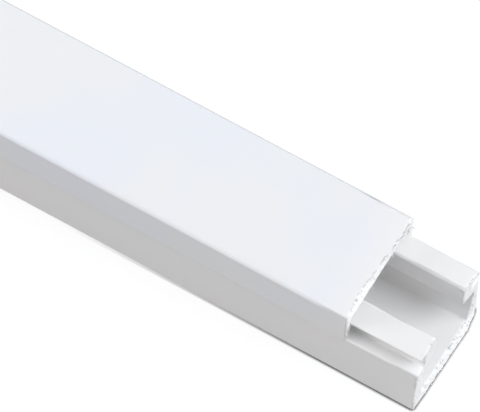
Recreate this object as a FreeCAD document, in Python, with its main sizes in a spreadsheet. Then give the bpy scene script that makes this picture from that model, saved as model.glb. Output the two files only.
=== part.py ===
import FreeCAD, Part
import os
import re

import Sketcher

# Two-piece PVC cord cover: a U-shaped base channel and a cover that snaps over its heads.
# X runs along the stock, Y across it and Z up. The origin is the middle of the base's underside.

doc = FreeCAD.newDocument("cord_cover_raceway")

# Driving sizes in millimetres.
SIZES = [
    ("stock_length", 400, "length that base and cover are both cut to"),
    ("cover_setback", 9.85, "how far the cover lies behind the base's end"),
    ("section_width", 16, "outer width of the closed raceway"),
    ("section_height", 16, "outer height of the closed raceway"),
    ("wall", 1.6, "side wall of the base under its head"),
    ("wall_foot", 2.25, "side wall of the base where it meets the floor"),
    ("wall_draft", 0.15, "how far the base's side leans inwards up to its shoulder"),
    ("floor_thickness", 1.2, "floor of the base"),
    ("root_radius", 0.3, "inside corner between floor and wall"),
    ("edge_radius", 0.3, "outer long edges of the base"),
    ("groove_radius", 0.4, "bottom of the groove between shoulder and neck"),
    ("head_reach", 4.35, "outer side of the base to the inner side of its head"),
    ("head_gap", 1.1, "room between the head and the flat of the cover"),
    ("head_foot", 0.4, "inner foot of the head below the shoulder"),
    ("underside_rise", 1.8, "rise of the slanted underside from wall to head"),
    ("roof_fall", 0.4, "fall of the head's roof towards its barb"),
    ("roof_radius", 0.4, "inner edge of the head's roof"),
    ("barb_edge", 0.35, "height of the barb's blunt edge"),
    ("cover_thickness", 1.4, "flat of the cover"),
    ("skirt_thickness", 0.75, "side of the cover above its hook"),
    ("skirt_depth", 6.2, "outer height of the cover's side"),
    ("skirt_splay", 0.15, "how far the heads press the skirt's foot outwards"),
    ("skirt_foot", 0.6, "thickness of the skirt's lower edge"),
    ("hook_catch", 0.35, "how far the hook reaches under the barb"),
    ("hook_nose", 0.3, "height of the hook's blunt nose"),
    ("neck_room", 0.75, "room between the hook's tip and the neck behind it"),
    ("cover_radius", 0.5, "outer long corners of the cover"),
    ("cover_root_radius", 0.4, "inside corner between flat and skirt"),
    ("slide_gap", 0.1, "running clearance between cover and base"),
    ("skirt_gap", 0.1, "clearance between skirt and shoulder"),
]

sheet = doc.addObject("Spreadsheet::Sheet", "Sizes")
for row, (alias, size, meaning) in enumerate(SIZES, start=1):
    sheet.set("A%d" % row, alias)
    sheet.set("B%d" % row, str(size))
    sheet.setAlias("B%d" % row, alias)
    sheet.set("C%d" % row, meaning)
doc.recompute()

# Levels and sides that both pieces share, measured from the middle and from the underside.
SIDE = "section_width / 2"
SKIRT_FOOT = "section_height - skirt_depth"
SHOULDER = SKIRT_FOOT + " - skirt_gap"
COVER_INSIDE = "section_height - cover_thickness"
HEAD_TOP = COVER_INSIDE + " - head_gap"
BARB_FOOT = HEAD_TOP + " - roof_fall - barb_edge"
HOOK_TOP = BARB_FOOT + " - slide_gap"
SKIRT_INSIDE = SIDE + " - skirt_thickness"
BARB_TIP = SKIRT_INSIDE + " - slide_gap"
HOOK_TIP = BARB_TIP + " - hook_catch"
NECK = HOOK_TIP + " - neck_room"
HEAD_INSIDE = SIDE + " - head_reach"
WALL_INSIDE = SIDE + " - wall"
WALL_FOOT = SIDE + " - wall_foot"
HEAD_FOOT = SHOULDER + " - head_foot"


def tied(formula):
    """The formula with every size in it read from the sheet."""
    return re.sub(r"[a-z_]+", r"Sizes.\g<0>", formula)


def value(formula):
    """The formula's present value in millimetres."""
    return float(sheet.evalExpression(tied(formula)))


def section_sketch(body, name, corners):
    """A closed section on the body's YZ plane, the same on both sides of the middle.

    corners lists the +Y half as (Y, Z) formulas. The first and the last corner face their own mirror
    images across the middle.
    """
    sketch = body.newObject("Sketcher::SketchObject", name)
    plane = next(item for item in body.Origin.OriginFeatures if item.Role == "YZ_Plane")
    sketch.AttachmentSupport = [(plane, "")]
    sketch.MapMode = "FlatFace"
    half = [FreeCAD.Vector(value(y), value(z), 0) for y, z in corners]
    other_half = [FreeCAD.Vector(-place.x, place.y, 0) for place in reversed(half)]
    outline = half + other_half
    count = len(outline)
    for i in range(count):
        sketch.addGeometry(Part.LineSegment(outline[i], outline[(i + 1) % count]), False)
    for i in range(count):
        sketch.addConstraint(Sketcher.Constraint("Coincident", i, 2, (i + 1) % count, 1))
    for i, (y, z) in enumerate(corners):
        tie_corner(sketch, i, "DistanceX", "across_%d" % i, y)
        tie_corner(sketch, i, "DistanceY", "up_%d" % i, z)
        sketch.addConstraint(Sketcher.Constraint("Symmetric", i, 1, count - 1 - i, 1, -2))
    return sketch


def tie_corner(sketch, line, direction, name, formula):
    """Hold the start of a line at a distance from the sketch's origin that the sheet gives."""
    if formula == "0":
        sketch.addConstraint(Sketcher.Constraint("PointOnObject", line, 1, -1))
        return
    index = sketch.addConstraint(Sketcher.Constraint(direction, -1, 1, line, 1, value(formula)))
    sketch.renameConstraint(index, name)
    sketch.setExpression("Constraints." + name, tied(formula))


def extruded(body, name, sketch):
    """The section drawn out to the stock's length, half of it each way from the middle."""
    pad = body.newObject("PartDesign::Pad", name)
    pad.Profile = sketch
    pad.SideType = "Symmetric"
    pad.setExpression("Length", "Sizes.stock_length")
    doc.recompute()
    return pad


def rounded(body, name, base, corners, radius):
    """Long edges at the given corners of the section, on both sides, rounded to one radius."""
    places = [(value(y), value(z)) for y, z in corners]
    edges = []
    for number, edge in enumerate(base.Shape.Edges, start=1):
        start, end = edge.Vertexes[0].Point, edge.Vertexes[-1].Point
        if abs(start.x - end.x) < value("stock_length") / 2:
            continue
        if any(abs(abs(start.y) - y) < 0.01 and abs(start.z - z) < 0.01 for y, z in places):
            edges.append("Edge%d" % number)
    fillet = body.newObject("PartDesign::Fillet", name)
    fillet.Base = (base, edges)
    fillet.setExpression("Radius", "Sizes." + radius)
    doc.recompute()
    return fillet


def base_channel():
    """Floor, side walls and the heads that the cover snaps over."""
    body = doc.addObject("PartDesign::Body", "base_channel")
    body.Label = "base_channel"
    corners = [
        (SIDE, "0"),
        (SIDE + " - wall_draft", SHOULDER),
        (NECK, SHOULDER),
        (NECK, BARB_FOOT),
        (BARB_TIP, BARB_FOOT),
        (BARB_TIP, BARB_FOOT + " + barb_edge"),
        (HEAD_INSIDE, HEAD_TOP),
        (HEAD_INSIDE, HEAD_FOOT),
        (WALL_INSIDE, HEAD_FOOT + " - underside_rise"),
        (WALL_FOOT, "floor_thickness"),
    ]
    sketch = section_sketch(body, "base_section", corners)
    drawn = extruded(body, "base_extrusion", sketch)
    drawn = rounded(body, "base_roots", drawn, corners[9:], "root_radius")
    drawn = rounded(body, "base_grooves", drawn, corners[2:3], "groove_radius")
    drawn = rounded(body, "base_roof_edges", drawn, corners[6:7], "roof_radius")
    rounded(body, "base_outer_edges", drawn, corners[:2], "edge_radius")
    return body


def snap_cover():
    """Flat and two skirts, each with a hook under the base's barb and a ramp that leads it over."""
    body = doc.addObject("PartDesign::Body", "snap_cover")
    body.Label = "snap_cover"
    corners = [
        (SIDE, "section_height"),
        (SIDE + " + skirt_splay", SKIRT_FOOT),
        (SIDE + " + skirt_splay - skirt_foot", SKIRT_FOOT),
        (HOOK_TIP, HOOK_TOP + " - hook_nose"),
        (HOOK_TIP, HOOK_TOP),
        (SKIRT_INSIDE, HOOK_TOP),
        (SKIRT_INSIDE, COVER_INSIDE),
    ]
    sketch = section_sketch(body, "cover_section", corners)
    drawn = extruded(body, "cover_extrusion", sketch)
    drawn = rounded(body, "cover_corners", drawn, corners[:1], "cover_radius")
    rounded(body, "cover_roots", drawn, corners[6:], "cover_root_radius")
    body.setExpression("Placement.Base.x", "-Sizes.cover_setback")
    return body


pieces = [base_channel(), snap_cover()]
doc.recompute()

for item in doc.Objects:
    if "Invalid" in item.State or "Error" in item.State:
        raise RuntimeError("%s did not compute: %s" % (item.Label, item.State))
for piece in pieces:
    if piece.Shape.isNull() or not piece.Shape.isValid():
        raise RuntimeError("%s has no valid shape" % piece.Label)

os.makedirs("parts", exist_ok=True)
for piece in pieces:
    piece.Shape.exportStep(os.path.join("parts", piece.Label + ".step"))
    box = piece.Shape.BoundBox
    print("%s: %.1f x %.1f x %.1f mm, %.1f mm3" % (piece.Label, box.XLength, box.YLength, box.ZLength,
                                                  piece.Shape.Volume))
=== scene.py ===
"""Two-piece white PVC cord cover, dressed: a U-shaped base channel and the cover that slides on it.

Metres, in the part's own frame: X runs along the stock, Y across it and Z up out of the wall.
"""
import math
import random

import bmesh
import bpy
from mathutils import Euler, Matrix, Vector, noise


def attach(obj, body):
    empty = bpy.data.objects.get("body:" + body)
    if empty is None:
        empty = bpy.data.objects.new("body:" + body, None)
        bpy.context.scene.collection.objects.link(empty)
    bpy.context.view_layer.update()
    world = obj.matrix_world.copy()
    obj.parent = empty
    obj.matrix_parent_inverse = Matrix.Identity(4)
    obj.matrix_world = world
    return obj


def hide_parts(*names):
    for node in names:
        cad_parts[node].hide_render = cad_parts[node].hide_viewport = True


MM = 0.001

# The camera, as the photograph was taken: far away with a long lens, so the edges hardly converge.
CAMERA_AZIMUTH = math.radians(26.27)
CAMERA_ELEVATION = math.radians(65.09)
CAMERA_ROLL = math.radians(4.0)
CAMERA_AIM = Vector((169.68, 1.83, 8.0)) * MM
CAMERA_DISTANCE = 982.0 * MM
CAMERA_LENS = 600.0
CAMERA_SENSOR = 36.0

# Light: a plain sky and three soft lamps a long way off, each given by the azimuth and elevation that it
# shines from in degrees, its strength and its colour. One hangs over the free end, and two stand low.
SKY_LEVEL = 0.40
SKY_COLOUR = (0.965, 0.985, 1.0)
LAMP_SOFTNESS = math.radians(30)
LAMPS = {
    "over_the_end": (0, 60, 1.31, (0.97, 0.99, 1.0)),
    "low_behind": (36, 15, 1.70, (1.0, 0.99, 0.985)),
    "low_in_front": (216, 15, 1.29, (1.0, 0.97, 0.965)),
}

# Floor, seen white by the camera except in the narrow gap under the stock's edges, where an occlusion mask
# takes its glow away: a painted contact shadow, which sets in only towards the free end.
FLOOR_SIZE = 6.0
FLOOR_COLOUR = (0.40, 0.39, 0.38)
FLOOR_SEEN_COLOUR = (0.25, 0.25, 0.25)
FLOOR_GLOW = 0.785
GAP_REACH = 0.5 * MM
GAP_SHARES = (0.55, 0.9)
PAINTED_SHADOW_FADE = (0.150, 0.187)

# The extruded edges and the spacing of the cuts across a long piece.
EDGE_SOFTNESS = 0.15 * MM
EDGE_STEPS = 3
SHARP_ANGLE = math.radians(30)
MERGE_ANGLE = math.radians(1)
LENGTHWISE = 0.99
STATION_PITCH = 8 * MM
END_STATIONS = [1.2 * MM, 2.5 * MM, 5 * MM]
SMOOTH_ANGLE = math.radians(35)
FLAT_WEIGHT = 100
FUZZ = 0.01 * MM

# The sawn ends. Each end face is divided into small squares that the saw has moved, and the last stretch
# of the skin more coarsely, with its cuts kept clear of the section's corners.
SAWN_DEPTH = END_STATIONS[0]
SAWN_RINGS = [0.4 * MM, 0.8 * MM]
SAWN_GRID = 0.2 * MM
SAWN_CLEAR = 0.4 * MM
SAWN_UNEVENNESS = 0.035 * MM
SAWN_GRAIN = 0.45 * MM
TORN_UNEVENNESS = 0.20 * MM
TORN_GRAIN = 0.9 * MM
GRAIN_FADE = 0.8
GRAIN_STEP = 2.0
GRAIN_OCTAVES = 3
OUTLINE_WEAR = 0.08 * MM

# How far each cut stands out of square, as (place across the stock, reach) pairs in millimetres.
COVER_TOP_CUT = [(-8, -0.11), (-4.6, -0.55), (0, -0.2), (5.8, 0.29), (8, 0.13)]
COVER_UNDER_CUT = [(-8, 0), (8, 0.12)]
COVER_SIDE_CHAMFER = 0.12
BASE_FOOT_CUT = [(-8, 0.05), (-4.7, 0.21), (0.1, 0.39), (4.9, 0.58), (6.8, 0.3), (8, -0.1)]
BASE_FAR_HEAD_CUT = 0.35
FACTORY_SKEW = [(-8, -0.15), (8, 0.15)]

# Where each feature of a cut begins and where it is full, across the stock or up it, in millimetres.
COVER_TOP_UP = (14.7, 15.9)
COVER_CHAMFER_ACROSS = (7.3, 8.1)
BASE_FOOT_UP = (0, 1.3)
FAR_HEAD_ACROSS = (5, 7)
FAR_HEAD_UP = (11.5, 12.7)

# The same for the painted shade along the torn edges, which stands for the shadow of the torn lip and its
# burrs, with how strong it is on each piece.
COVER_TORN_SHADE = 1.2
COVER_TORN_SHADE_UP = (15.2, 15.8)
BASE_TORN_SHADE = 0.95
FLOOR_TORN_SHADE_FROM = (0.8, 1.1)
FLOOR_TORN_SHADE_TO = (1.7, 2.0)
FLOOR_TORN_SHADE_ACROSS = (-3, 1)
HEAD_TORN_SHADE_ACROSS = (3, 5)
HEAD_TORN_SHADE_UP = (8, 11)

# The free end's walls lean inwards, the far one more, from well under the cover to the cut. The lean sets in
# at the first of two shares of the half width and is full at the second.
LEAN_START = 0.160
LEAN_ACROSS = (0.5, 0.85)
FAR_LEAN = 0.28 * MM
NEAR_LEAN = 0.10 * MM

# The near head reaches further in above this share of the height, and the far wall's inner face is hollow
# over a thicker foot: where across and up it is so, in millimetres.
NEAR_HEAD_REACH = 0.15 * MM
NEAR_HEAD_SHARE = 0.6
FAR_WALL_WEAR = 0.25 * MM
FAR_WALL_ACROSS = (4.5, 6)
FAR_WALL_OUTSIDE = 6.7
FAR_WALL_TOP = 9.4
FAR_FOOT_REACH = 0.25 * MM
FAR_FOOT_UP = (1.3, 3.3)

# Whites, as linear colour: the skin's two, then its specks, whose grey also paints the shade along torn edges
# and along the edges that turn away to +Y. A cut is brighter, with grey in its pits.
BASE_COLOURS = ((0.89, 0.885, 0.885), (0.88, 0.88, 0.895), (0.62, 0.62, 0.62))
COVER_COLOURS = ((0.865, 0.875, 0.89), (0.845, 0.865, 0.92), (0.60, 0.61, 0.62))
SAWN_COLOURS = ((0.875, 0.88, 0.89), (0.84, 0.845, 0.86), (0.60, 0.60, 0.61))
WHITENED = (0.90, 0.905, 0.915)
WHITENED_REACH = 4 * MM
SKIN_ROUGHNESS = (0.40, 0.50)
SAWN_ROUGHNESS = (0.55, 0.75)
SKIN_RELIEF = 0.006 * MM
SAWN_RELIEF = 0.02 * MM

# Painted shade on the rounded edges that turn away to +Y while they still face up a little, standing for the
# dark line along those silhouettes. Each pair gives the part of the normal at which it begins and at which it
# is full.
EDGE_SHADE = 0.75
EDGE_SHADE_AWAY = (0.32, 0.7)
EDGE_SHADE_UP = (0.05, 0.3)

# How fine the patterns are, as texture scales.
CLOUD_SCALE = 55
DIE_LINE_SCALE = 1300
PEEL_SCALE = 2600
SPECK_SCALE = 105
SCORE_SCALE = 1500
PIT_SCALE = 2400
TORN_SHADE_SCALE = 1400

# Burrs: slivers that the saw left on the cut edges, given for each cut as rows of
# (start across and up, stop across and up, number of slivers), in millimetres.
BURR_SEED = 7
BURR_KINDS = 6
BURR_LENGTHS = (0.15 * MM, 0.6 * MM)
BURR_THICKNESS = 0.1 * MM
BURR_STEPS = 3
BURR_TAPER = 0.75
BURR_CURL = 0.5
BURR_TIP = 0.5
BURR_SWING = 0.8
COVER_BURRS = [((-7.5, 16), (7.8, 16), 34), ((-6.5, 14.6), (6.5, 14.6), 6),
               ((8, 15.5), (8.1, 10), 5), ((-8, 15.5), (-8.1, 10), 3)]
BASE_BURRS = [((-5.5, 1.2), (6, 1.2), 16), ((-7.5, 0.1), (7.5, 0.1), 6), ((3.7, 13.5), (7.1, 13.1), 8),
              ((6.4, 2), (6.4, 7), 4), ((-7.1, 13.1), (-3.7, 13.5), 4), ((-7.9, 1), (-7.9, 9), 3)]


def only(piece):
    """Deselect everything else and make the piece active."""
    bpy.ops.object.select_all(action="DESELECT")
    bpy.context.view_layer.objects.active = piece
    piece.select_set(True)


def edit(piece):
    """Open the piece in edit mode with nothing selected, and return its edit mesh."""
    only(piece)
    bpy.ops.object.mode_set(mode="EDIT")
    bpy.ops.mesh.select_mode(type="FACE")
    bpy.ops.mesh.select_all(action="DESELECT")
    return bmesh.from_edit_mesh(piece.data)


def close_edit():
    bpy.ops.object.mode_set(mode="OBJECT")


def choose(piece, wanted):
    """Select the faces that the wanted(face) test picks out, and nothing else."""
    mesh = bmesh.from_edit_mesh(piece.data)
    for face in mesh.faces:
        face.select_set(False)
    for face in mesh.faces:
        if wanted(face):
            face.select_set(True)
    mesh.select_flush_mode()
    bmesh.update_edit_mesh(piece.data)


def copied_node(frame, node_name, name):
    """A copy of a CAD node's mesh as a new object, its loose triangles merged into whole faces."""
    piece = bpy.data.objects.new(name, frame["nodes"][node_name].data.copy())
    piece.data.name = name
    piece.data.materials.clear()
    bpy.context.scene.collection.objects.link(piece)
    edit(piece)
    bpy.ops.mesh.select_all(action="SELECT")
    bpy.ops.mesh.remove_doubles(threshold=FUZZ)
    bpy.ops.mesh.dissolve_limited(angle_limit=MERGE_ANGLE)
    close_edit()
    return piece


def soften_long_edges(piece):
    """Give every sharp edge that runs along the stock the small radius that an extruder's die leaves."""
    mesh = edit(piece)
    bpy.ops.mesh.select_mode(type="EDGE")
    for edge in mesh.edges:
        run = edge.verts[1].co - edge.verts[0].co
        along = abs(run.x) > LENGTHWISE * run.length
        edge.select_set(along and edge.calc_face_angle(0) > SHARP_ANGLE)
    bmesh.update_edit_mesh(piece.data)
    bpy.ops.mesh.bevel(offset=EDGE_SOFTNESS, segments=EDGE_STEPS, affect="EDGES", clamp_overlap=True)
    close_edit()


def cut_across(piece, places):
    """Cut the whole piece across at each X."""
    edit(piece)
    cut_at(0, places)
    close_edit()


def cut_at(axis, places):
    """Cut all that shows in edit mode at each of the places along an axis."""
    normal = Vector((0, 0, 0))
    normal[axis] = 1
    for place in places:
        bpy.ops.mesh.select_all(action="SELECT")
        bpy.ops.mesh.bisect(plane_co=place * normal, plane_no=normal)


def square_the_end(piece, end):
    """Divide the end face into small squares and the last stretch of the skin into larger ones.

    No cut runs along the skin close beside one of the section's own corners, because the sliver that it
    would leave there spoils the shading.
    """
    low, high = piece_box(piece)
    section = [vertex.co.copy() for vertex in piece.data.vertices if abs(vertex.co.x - end) < FUZZ]
    edit(piece)
    for depth, clear in ((SAWN_DEPTH, SAWN_CLEAR), (0, 0)):
        bpy.ops.mesh.reveal(select=False)
        choose(piece, lambda face: all(abs(v.co.x - end) < depth + FUZZ for v in face.verts))
        bpy.ops.mesh.hide(unselected=True)
        for axis in (1, 2):
            count = round((high[axis] - low[axis]) / SAWN_GRID)
            places = [low[axis] + i * (high[axis] - low[axis]) / count for i in range(1, count)]
            cut_at(axis, [place for place in places
                          if all(abs(corner[axis] - place) >= clear for corner in section)])
    bpy.ops.mesh.reveal(select=False)
    close_edit()


def mark_sawn_faces(piece, end):
    """Give the end face the second material slot, which is the sawn one."""
    edit(piece)
    choose(piece, lambda face: all(abs(v.co.x - end) < FUZZ for v in face.verts))
    piece.active_material_index = 1
    bpy.ops.object.material_slot_assign()
    close_edit()


def piece_box(piece):
    corners = [vertex.co for vertex in piece.data.vertices]
    low = Vector([min(corner[axis] for corner in corners) for axis in range(3)])
    high = Vector([max(corner[axis] for corner in corners) for axis in range(3)])
    return low, high


def stations(low, high):
    """The X of every cut across a piece: evenly along it, and closer together at its two ends."""
    count = round((high - low) / STATION_PITCH)
    even = [low + i * (high - low) / count for i in range(1, count)]
    ends = SAWN_RINGS + END_STATIONS
    return even + [low + gap for gap in ends] + [high - gap for gap in ends]


def eased(share):
    """A share held between 0 and 1, with a soft start and a soft stop."""
    share = min(max(share, 0), 1)
    return share * share * (3 - 2 * share)


def rise(value, band):
    """How far a length has come through a band that is given in millimetres, from 0 to 1."""
    start, stop = band
    return eased((value / MM - start) / (stop - start))


def value_at(places, across):
    """The value at a place across the stock, between listed (place, value) pairs."""
    for (start, first), (stop, last) in zip(places, places[1:]):
        if across <= stop:
            return first + (last - first) * eased((across - start) / (stop - start))
    return places[-1][1]


def grain(y, z, size, seed):
    """Smooth noise between about -1 and 1 over a sawn face."""
    return noise.fractal(Vector((y / size, z / size, seed)), GRAIN_FADE, GRAIN_STEP, GRAIN_OCTAVES)


def cover_cut(y, z):
    """Reach of the cover's free end: its top edge is torn back on the near side."""
    top = rise(z, COVER_TOP_UP)
    reach = (1 - top) * value_at(COVER_UNDER_CUT, y / MM) + top * value_at(COVER_TOP_CUT, y / MM)
    reach -= COVER_SIDE_CHAMFER * rise(-y, COVER_CHAMFER_ACROSS) * (1 - top)
    torn = top * TORN_UNEVENNESS * grain(y, 0, TORN_GRAIN, 3)
    return reach * MM + torn + SAWN_UNEVENNESS * grain(y, z, SAWN_GRAIN, 11)


def base_cut(y, z):
    """Reach of the base's free end: the foot of the cut bulges and the far head sticks out."""
    foot = 1 - rise(z, BASE_FOOT_UP)
    far_head = rise(y, FAR_HEAD_ACROSS) * rise(z, FAR_HEAD_UP)
    reach = foot * value_at(BASE_FOOT_CUT, y / MM) + far_head * BASE_FAR_HEAD_CUT
    return reach * MM + SAWN_UNEVENNESS * (1 + foot) * grain(y, z, SAWN_GRAIN, 23)


def factory_cut(y, z):
    """Reach of the other end, which came off a clean saw a little out of square."""
    return value_at(FACTORY_SKEW, y / MM) * MM + SAWN_UNEVENNESS * grain(y, z, SAWN_GRAIN, 31)


def tear(piece, end, cut):
    """Move the sawn end in and out as its cut says, and wear its outline a little."""
    mesh = edit(piece)
    outwards = math.copysign(1, end)
    for vertex in mesh.verts:
        depth = abs(vertex.co.x - end)
        if depth >= SAWN_DEPTH:
            continue
        reach = cut(vertex.co.y, vertex.co.z) * (1 - depth / SAWN_DEPTH)
        if depth < FUZZ and any(face.material_index == 0 for face in vertex.link_faces):
            reach -= OUTLINE_WEAR
        vertex.co.x += outwards * reach
    bmesh.update_edit_mesh(piece.data)
    close_edit()


def lean_inwards(piece):
    """Lean the base's free walls inwards towards the cut, and make their inner sides uneven."""
    low, high = piece_box(piece)
    lean_from, lean_to = LEAN_ACROSS
    for vertex in piece.data.vertices:
        place = vertex.co
        side = 1 if place.y > 0 else -1
        height = place.z / high.z
        towards_barb = eased((abs(place.y) / high.y - lean_from) / (lean_to - lean_from))
        by_the_cut = eased((place.x - LEAN_START) / (high.x - LEAN_START))
        lean = FAR_LEAN if side > 0 else NEAR_LEAN
        near_head = side < 0 and height > NEAR_HEAD_SHARE
        far_wall = place.z < FAR_WALL_TOP * MM and FAR_WALL_ACROSS[0] < place.y / MM < FAR_WALL_OUTSIDE
        place.y -= side * lean * height * towards_barb * by_the_cut
        if near_head:
            place.y += NEAR_HEAD_REACH * (1 - towards_barb)
        if far_wall:
            foot = 1 - rise(place.z, FAR_FOOT_UP)
            place.y += FAR_WALL_WEAR * (1 - foot) * rise(place.y, FAR_WALL_ACROSS) - FAR_FOOT_REACH * foot


def mark_cut(piece, end, torn):
    """Write how near each point is to a cut, and how strongly painted shade darkens the cut's torn outline
    there.

    torn gives that painted shade, which stands for the shadow of the torn lip and its burrs, between 0 and 1
    at a place across and up the outline.
    """
    marks = piece.data.attributes
    for name in ("near_cut", "torn_line_shade"):
        if name not in marks:
            marks.new(name, "FLOAT", "POINT")
    outline = {index for face in piece.data.polygons if face.material_index == 0 for index in face.vertices}
    for vertex in piece.data.vertices:
        depth = abs(vertex.co.x - end)
        if depth < WHITENED_REACH:
            marks["near_cut"].data[vertex.index].value = 1 - depth / WHITENED_REACH
        if depth < FUZZ and vertex.index in outline:
            marks["torn_line_shade"].data[vertex.index].value = torn(vertex.co.y, vertex.co.z)


def cover_torn_shade(y, z):
    """The cover's cut is torn along its top edge, where painted shade stands for the shadow of the torn lip.
    """
    return COVER_TORN_SHADE * rise(z, COVER_TORN_SHADE_UP)


def base_torn_shade(y, z):
    """The base's cut is torn along its floor and over the far head, where painted shade stands for the shadow
    of the torn lip and burrs.
    """
    floor_height = rise(z, FLOOR_TORN_SHADE_FROM) * (1 - rise(z, FLOOR_TORN_SHADE_TO))
    floor_top = floor_height * rise(y, FLOOR_TORN_SHADE_ACROSS)
    far_head = rise(y, HEAD_TORN_SHADE_ACROSS) * rise(z, HEAD_TORN_SHADE_UP)
    return BASE_TORN_SHADE * max(floor_top, far_head)


def clean_edge(y, z):
    """A clean saw leaves no torn lip, so its outline gets no painted shade."""
    return 0


def sliver(name, chance, material):
    """One burr: a thin strip that tapers and curls, extruded step by step from its root."""
    bpy.ops.object.select_all(action="DESELECT")
    bpy.ops.mesh.primitive_cube_add(size=BURR_THICKNESS)
    strip = bpy.context.object
    strip.name = name
    strip.data.materials.append(material)
    step = chance.uniform(*BURR_LENGTHS) / BURR_STEPS
    curl = chance.uniform(-BURR_CURL, BURR_CURL)
    edit(strip)
    choose(strip, lambda face: face.normal.x > 0.9)
    for i in range(BURR_STEPS):
        move = (step * math.cos(i * curl), 0, step * math.sin(i * curl))
        bpy.ops.mesh.extrude_region_move(TRANSFORM_OT_translate={"value": move})
        bpy.ops.transform.resize(value=(BURR_TAPER, BURR_TAPER, BURR_TAPER))
    close_edit()
    return strip


def hang_burrs(piece, end, cut, rows, material):
    """Hang slivers on the rows of a cut's edges and join them to the piece."""
    chance = random.Random(BURR_SEED)
    kinds = [sliver("burr_%d" % number, chance, material) for number in range(BURR_KINDS)]
    outwards = math.copysign(1, end)
    facing = Matrix.Diagonal((outwards, outwards, 1, 1))
    burrs = []
    for start, stop, count in rows:
        for _ in range(count):
            y, z = Vector(start).lerp(Vector(stop), chance.random()) * MM
            place = Vector((end + outwards * (cut(y, z) - OUTLINE_WEAR / 2), y, z))
            roll = chance.uniform(0, 2 * math.pi)
            tip = chance.gauss(0, BURR_TIP)
            swing = chance.gauss(0, BURR_SWING)
            turn = Euler((roll, tip, swing))
            kind = chance.choice(kinds)
            burr = kind.copy()
            burr.data = kind.data.copy()
            burr.data.transform(Matrix.Translation(place) @ facing @ turn.to_matrix().to_4x4())
            bpy.context.scene.collection.objects.link(burr)
            burrs.append(burr)
    only(piece)
    for burr in burrs:
        burr.select_set(True)
    bpy.ops.object.join()
    for kind in kinds:
        bpy.data.objects.remove(kind)


def extrusion(frame, node_name, name, ends, finish):
    """A long piece of the stock: soft edges, cuts along it and two sawn ends.

    ends gives, for the low and the high end, the functions of the cut and of the painted shade along its torn
    outline and the rows of its burrs, and finish the materials of the skin and of the sawn faces.
    """
    piece = copied_node(frame, node_name, name)
    for material in finish:
        piece.data.materials.append(material)
    low, high = piece_box(piece)
    soften_long_edges(piece)
    cut_across(piece, stations(low.x, high.x))
    for end, (cut, torn_shade, burrs) in zip((low.x, high.x), ends):
        square_the_end(piece, end)
        mark_sawn_faces(piece, end)
        mark_cut(piece, end, torn_shade)
        tear(piece, end, cut)
        if burrs:
            hang_burrs(piece, end, cut, burrs, finish[1])
    return piece


def smooth(piece):
    """Smooth shading in which the wide flats stay flat and only the rounded edges turn."""
    only(piece)
    bpy.ops.object.shade_smooth_by_angle(angle=SMOOTH_ANGLE)
    flats = piece.modifiers.new("flats", "WEIGHTED_NORMAL")
    flats.keep_sharp = True
    flats.weight = FLAT_WEIGHT
    bpy.ops.object.modifier_apply(modifier=flats.name)


def node(tree, kind, **settings):
    """A new node of a kind, with its own properties set."""
    made = tree.nodes.new("ShaderNode" + kind)
    for name, value in settings.items():
        setattr(made, name, value)
    return made


def pattern(tree, texture, coordinates, stretch, **inputs):
    """A procedural texture read at object coordinates that are stretched by the three factors."""
    place = node(tree, "Mapping")
    place.inputs["Scale"].default_value = stretch
    tree.links.new(coordinates, place.inputs["Vector"])
    made = node(tree, texture)
    for name, value in inputs.items():
        made.inputs[name].default_value = value
    tree.links.new(place.outputs["Vector"], made.inputs["Vector"])
    return made


def ranged(tree, source, low, high, first, last):
    """The source's stretch from low to high, spread over first to last and held there."""
    spread = node(tree, "MapRange", clamp=True)
    for name, value in (("From Min", low), ("From Max", high), ("To Min", first), ("To Max", last)):
        spread.inputs[name].default_value = value
    tree.links.new(source, spread.inputs["Value"])
    return spread.outputs["Result"]


def sums(tree, operation, first, second):
    """Arithmetic on two sockets, or on a socket and a number."""
    made = node(tree, "Math", operation=operation)
    for socket, term in zip(made.inputs, (first, second)):
        if isinstance(term, (int, float)):
            socket.default_value = term
        else:
            tree.links.new(term, socket)
    return made.outputs["Value"]


def blended(tree, share, first, second):
    """Two colour sockets mixed by a share."""
    made = node(tree, "Mix", data_type="RGBA")
    tree.links.new(share, made.inputs["Factor"])
    tree.links.new(first, made.inputs["A"])
    tree.links.new(second, made.inputs["B"])
    return made.outputs["Result"]


def finish_group(name):
    """An empty node group for a finish, with four colours in and a colour, roughness and height out."""
    tree = bpy.data.node_groups.new(name, "ShaderNodeTree")
    for socket in ("Colour", "Second Colour", "Speck and Shade Colour", "Whitened Colour"):
        tree.interface.new_socket(name=socket, in_out="INPUT", socket_type="NodeSocketColor")
    tree.interface.new_socket(name="Colour", in_out="OUTPUT", socket_type="NodeSocketColor")
    tree.interface.new_socket(name="Roughness", in_out="OUTPUT", socket_type="NodeSocketFloat")
    tree.interface.new_socket(name="Height", in_out="OUTPUT", socket_type="NodeSocketFloat")
    return tree, tree.nodes.new("NodeGroupInput"), tree.nodes.new("NodeGroupOutput")


def with_torn_shade(tree, given, colour):
    """The colour with broken painted shade along the torn outline of a cut, where the torn lip would shade
    it.
    """
    place = node(tree, "TexCoord").outputs["Object"]
    torn = node(tree, "Attribute", attribute_name="torn_line_shade").outputs["Fac"]
    breaks = pattern(tree, "TexNoise", place, (1, 1, 1), Scale=TORN_SHADE_SCALE, Detail=3, Roughness=0.6)
    # Painted shade: the torn outline darkens in broken patches, standing for the shadow of the torn lip.
    broken = sums(tree, "MULTIPLY", torn, ranged(tree, breaks.outputs["Fac"], 0.40, 0.58, 0, 1))
    line = ranged(tree, broken, 0.5, 0.85, 0, 1)
    return blended(tree, line, colour, given.outputs["Speck and Shade Colour"])


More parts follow.
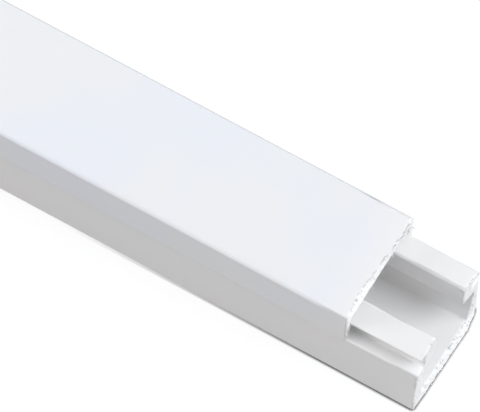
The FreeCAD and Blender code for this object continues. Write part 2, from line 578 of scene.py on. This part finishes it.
def extruded_skin():
    """As it leaves the die: cloudy white, faint lines along the stock and a few specks, with painted shade on
    the edges that turn away to +Y.
    """
    tree, given, made = finish_group("extruded_skin")
    place = node(tree, "TexCoord").outputs["Object"]
    clouds = pattern(tree, "TexNoise", place, (1, 1, 1), Scale=CLOUD_SCALE, Detail=2, Roughness=0.5)
    cloudy = ranged(tree, clouds.outputs["Fac"], 0.38, 0.62, 0, 1)
    lines = pattern(tree, "TexNoise", place, (0.004, 1, 1), Scale=DIE_LINE_SCALE, Detail=2, Roughness=0.6)
    peel = pattern(tree, "TexNoise", place, (0.5, 1, 1), Scale=PEEL_SCALE, Detail=1, Roughness=0.5)
    specks = pattern(tree, "TexVoronoi", place, (0.7, 1, 1), Scale=SPECK_SCALE)
    near_speck = ranged(tree, specks.outputs["Distance"], 0.010, 0.022, 1, 0)
    chance = node(tree, "SeparateColor")
    tree.links.new(specks.outputs["Color"], chance.inputs["Color"])
    few = sums(tree, "GREATER_THAN", chance.outputs["Red"], 0.55)
    speck = sums(tree, "MULTIPLY", near_speck, few)
    white = blended(tree, cloudy, given.outputs["Colour"], given.outputs["Second Colour"])
    colour = blended(tree, speck, white, given.outputs["Speck and Shade Colour"])
    near_cut = node(tree, "Attribute", attribute_name="near_cut").outputs["Fac"]
    whitened = blended(tree, near_cut, colour, given.outputs["Whitened Colour"])
    facing = node(tree, "SeparateXYZ")
    tree.links.new(node(tree, "NewGeometry").outputs["Normal"], facing.inputs["Vector"])
    # Painted shade: the colour darkens on rounded edges whose normal turns away to +Y while still facing up.
    turned_away = ranged(tree, facing.outputs["Y"], *EDGE_SHADE_AWAY, 0, EDGE_SHADE)
    still_up = ranged(tree, facing.outputs["Z"], *EDGE_SHADE_UP, 0, 1)
    painted_edge_shade = sums(tree, "MULTIPLY", turned_away, still_up)
    edge_shaded = blended(tree, painted_edge_shade, whitened, given.outputs["Speck and Shade Colour"])
    line_height = ranged(tree, lines.outputs["Fac"], 0.3, 0.7, 0, 0.7)
    peel_height = sums(tree, "MULTIPLY", peel.outputs["Fac"], 0.3)
    tree.links.new(with_torn_shade(tree, given, edge_shaded), made.inputs["Colour"])
    tree.links.new(ranged(tree, lines.outputs["Fac"], 0.3, 0.7, *SKIN_ROUGHNESS), made.inputs["Roughness"])
    tree.links.new(sums(tree, "ADD", line_height, peel_height), made.inputs["Height"])
    return tree


def sawn_face():
    """Where the saw went through: bare white with short scored lines and grey in the pits."""
    tree, given, made = finish_group("sawn_face")
    place = node(tree, "TexCoord").outputs["Object"]
    scores = pattern(tree, "TexNoise", place, (1, 0.35, 4), Scale=SCORE_SCALE, Detail=2, Roughness=0.6)
    pits = pattern(tree, "TexNoise", place, (1, 1, 1), Scale=PIT_SCALE, Detail=2, Roughness=0.6)
    scored = ranged(tree, scores.outputs["Fac"], 0.35, 0.65, 0, 1)
    pitted = ranged(tree, pits.outputs["Fac"], 0.60, 0.68, 0, 1)
    bare = blended(tree, scored, given.outputs["Colour"], given.outputs["Second Colour"])
    colour = blended(tree, pitted, bare, given.outputs["Speck and Shade Colour"])
    pit_depth = sums(tree, "MULTIPLY", pitted, -0.6)
    tree.links.new(with_torn_shade(tree, given, colour), made.inputs["Colour"])
    tree.links.new(ranged(tree, scores.outputs["Fac"], 0.35, 0.65, *SAWN_ROUGHNESS), made.inputs["Roughness"])
    tree.links.new(sums(tree, "ADD", scored, pit_depth), made.inputs["Height"])
    return tree


def pvc(name, finish, colours, relief):
    """White rigid PVC with one of the finishes; relief is the full height of its bumps."""
    material = bpy.data.materials.new(name)
    material.use_nodes = True
    tree = material.node_tree
    shader = tree.nodes["Principled BSDF"]
    surface = node(tree, "Group", node_tree=finish)
    sockets = ("Colour", "Second Colour", "Speck and Shade Colour", "Whitened Colour")
    for socket, colour in zip(sockets, (*colours, WHITENED)):
        surface.inputs[socket].default_value = (*colour, 1)
    bump = node(tree, "Bump")
    bump.inputs["Strength"].default_value = 1
    bump.inputs["Distance"].default_value = relief
    tree.links.new(surface.outputs["Colour"], shader.inputs["Base Color"])
    tree.links.new(surface.outputs["Roughness"], shader.inputs["Roughness"])
    tree.links.new(surface.outputs["Height"], bump.inputs["Height"])
    tree.links.new(bump.outputs["Normal"], shader.inputs["Normal"])
    return material


def floor():
    """A plain pale floor. It is white to the camera except in a painted contact shadow under the stock's
    edge, where its glow is taken away, and only towards the free end.
    """
    bpy.ops.object.select_all(action="DESELECT")
    bpy.ops.mesh.primitive_plane_add(size=FLOOR_SIZE, location=(0, 0, 0))
    plane = bpy.context.object
    plane.name = "floor"
    material = bpy.data.materials.new("floor")
    material.use_nodes = True
    tree = material.node_tree
    tree.nodes.clear()
    output = node(tree, "OutputMaterial")
    path = node(tree, "LightPath")
    plain = node(tree, "BsdfDiffuse")
    plain.inputs["Color"].default_value = (*FLOOR_COLOUR, 1)
    seen = node(tree, "BsdfDiffuse")
    seen.inputs["Color"].default_value = (*FLOOR_SEEN_COLOUR, 1)
    openness = node(tree, "AmbientOcclusion", samples=16)
    openness.inputs["Distance"].default_value = GAP_REACH
    glow = node(tree, "Emission")
    along = node(tree, "SeparateXYZ")
    tree.links.new(node(tree, "TexCoord").outputs["Object"], along.inputs["Vector"])
    # Painted contact shadow: the glow fades where the floor is occluded, and only past the start of the fade
    # along X.
    glow_outside_painted_shadow = ranged(tree, openness.outputs["AO"], *GAP_SHARES, 0, FLOOR_GLOW)
    no_painted_shadow_yet = ranged(tree, along.outputs["X"], *PAINTED_SHADOW_FADE, FLOOR_GLOW, 0)
    tree.links.new(sums(tree, "MAXIMUM", glow_outside_painted_shadow, no_painted_shadow_yet), glow.inputs["Strength"])
    both = node(tree, "AddShader")
    choice = node(tree, "MixShader")
    tree.links.new(seen.outputs[0], both.inputs[0])
    tree.links.new(glow.outputs[0], both.inputs[1])
    tree.links.new(path.outputs["Is Camera Ray"], choice.inputs[0])
    tree.links.new(plain.outputs[0], choice.inputs[1])
    tree.links.new(both.outputs[0], choice.inputs[2])
    tree.links.new(choice.outputs[0], output.inputs["Surface"])
    plane.data.materials.append(material)


def sky():
    """An even sky that lights the object plainly and that camera and reflections see as white."""
    world = bpy.data.worlds.new("studio")
    bpy.context.scene.world = world
    world.use_nodes = True
    tree = world.node_tree
    tree.nodes.clear()
    output = node(tree, "OutputWorld")
    path = node(tree, "LightPath")
    light = node(tree, "Background")
    light.inputs["Color"].default_value = (*SKY_COLOUR, 1)
    light.inputs["Strength"].default_value = SKY_LEVEL
    white = node(tree, "Background")
    white.inputs["Color"].default_value = (1, 1, 1, 1)
    choice = node(tree, "MixShader")
    seen = sums(tree, "MAXIMUM", path.outputs["Is Camera Ray"], path.outputs["Is Glossy Ray"])
    seen = sums(tree, "MAXIMUM", seen, path.outputs["Is Transmission Ray"])
    tree.links.new(seen, choice.inputs[0])
    tree.links.new(light.outputs[0], choice.inputs[1])
    tree.links.new(white.outputs[0], choice.inputs[2])
    tree.links.new(choice.outputs[0], output.inputs["Surface"])


def lamp(name, azimuth, elevation, strength, colour):
    """A soft lamp so far off that it lights the whole length alike, with no glare of its own."""
    data = bpy.data.lights.new(name, "SUN")
    data.angle = LAMP_SOFTNESS
    data.energy = strength
    data.color = colour
    light = bpy.data.objects.new(name, data)
    light.visible_glossy = False
    bpy.context.scene.collection.objects.link(light)
    towards_lamp = direction(math.radians(azimuth), math.radians(elevation))
    light.rotation_euler = towards_lamp.to_track_quat("Z", "Y").to_euler()


def direction(azimuth, elevation):
    """The unit vector that points this way, azimuth 0 along +X and 90 degrees along +Y."""
    flat = math.cos(elevation)
    return Vector((math.cos(azimuth) * flat, math.sin(azimuth) * flat, math.sin(elevation)))


def camera():
    """The photograph's viewpoint."""
    back = direction(CAMERA_AZIMUTH - math.pi / 2, CAMERA_ELEVATION)
    level = Vector((math.cos(CAMERA_AZIMUTH), math.sin(CAMERA_AZIMUTH), 0))
    upright = back.cross(level)
    right = math.cos(CAMERA_ROLL) * level + math.sin(CAMERA_ROLL) * upright
    up = math.cos(CAMERA_ROLL) * upright - math.sin(CAMERA_ROLL) * level
    place = CAMERA_AIM + CAMERA_DISTANCE * back
    data = bpy.data.cameras.new("camera")
    data.lens = CAMERA_LENS
    data.sensor_width = CAMERA_SENSOR
    eye = bpy.data.objects.new("camera", data)
    bpy.context.scene.collection.objects.link(eye)
    eye.matrix_world = Matrix((
        (right.x, up.x, back.x, place.x),
        (right.y, up.y, back.y, place.y),
        (right.z, up.z, back.z, place.z),
        (0, 0, 0, 1),
    ))
    bpy.context.scene.camera = eye
    bpy.context.scene.view_settings.view_transform = "Standard"


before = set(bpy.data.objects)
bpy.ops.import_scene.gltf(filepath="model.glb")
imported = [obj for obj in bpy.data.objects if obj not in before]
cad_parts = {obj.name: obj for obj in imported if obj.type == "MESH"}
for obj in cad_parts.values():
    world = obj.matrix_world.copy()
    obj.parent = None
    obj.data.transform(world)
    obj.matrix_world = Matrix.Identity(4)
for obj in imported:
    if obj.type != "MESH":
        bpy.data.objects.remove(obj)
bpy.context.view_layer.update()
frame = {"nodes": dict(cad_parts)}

camera()
sky()
for name, settings in LAMPS.items():
    lamp(name, *settings)
floor()

skin = extruded_skin()
sawn = sawn_face()
base_finish = (pvc("base_skin", skin, BASE_COLOURS, SKIN_RELIEF),
               pvc("base_sawn", sawn, SAWN_COLOURS, SAWN_RELIEF))
cover_finish = (pvc("cover_skin", skin, COVER_COLOURS, SKIN_RELIEF),
                pvc("cover_sawn", sawn, SAWN_COLOURS, SAWN_RELIEF))

factory_end = (factory_cut, clean_edge, [])
base_end = (base_cut, base_torn_shade, BASE_BURRS)
cover_end = (cover_cut, cover_torn_shade, COVER_BURRS)
base = extrusion(frame, "base_channel", "base_extrusion", (factory_end, base_end), base_finish)
lean_inwards(base)
cover = extrusion(frame, "snap_cover", "cover_extrusion", (factory_end, cover_end), cover_finish)

for piece, body, node_name, slot in (
    (base, "base", "base_channel", "base_pvc"),
    (cover, "cover", "snap_cover", "cover_pvc"),
):
    smooth(piece)
    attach(piece, body)
    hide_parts(node_name)
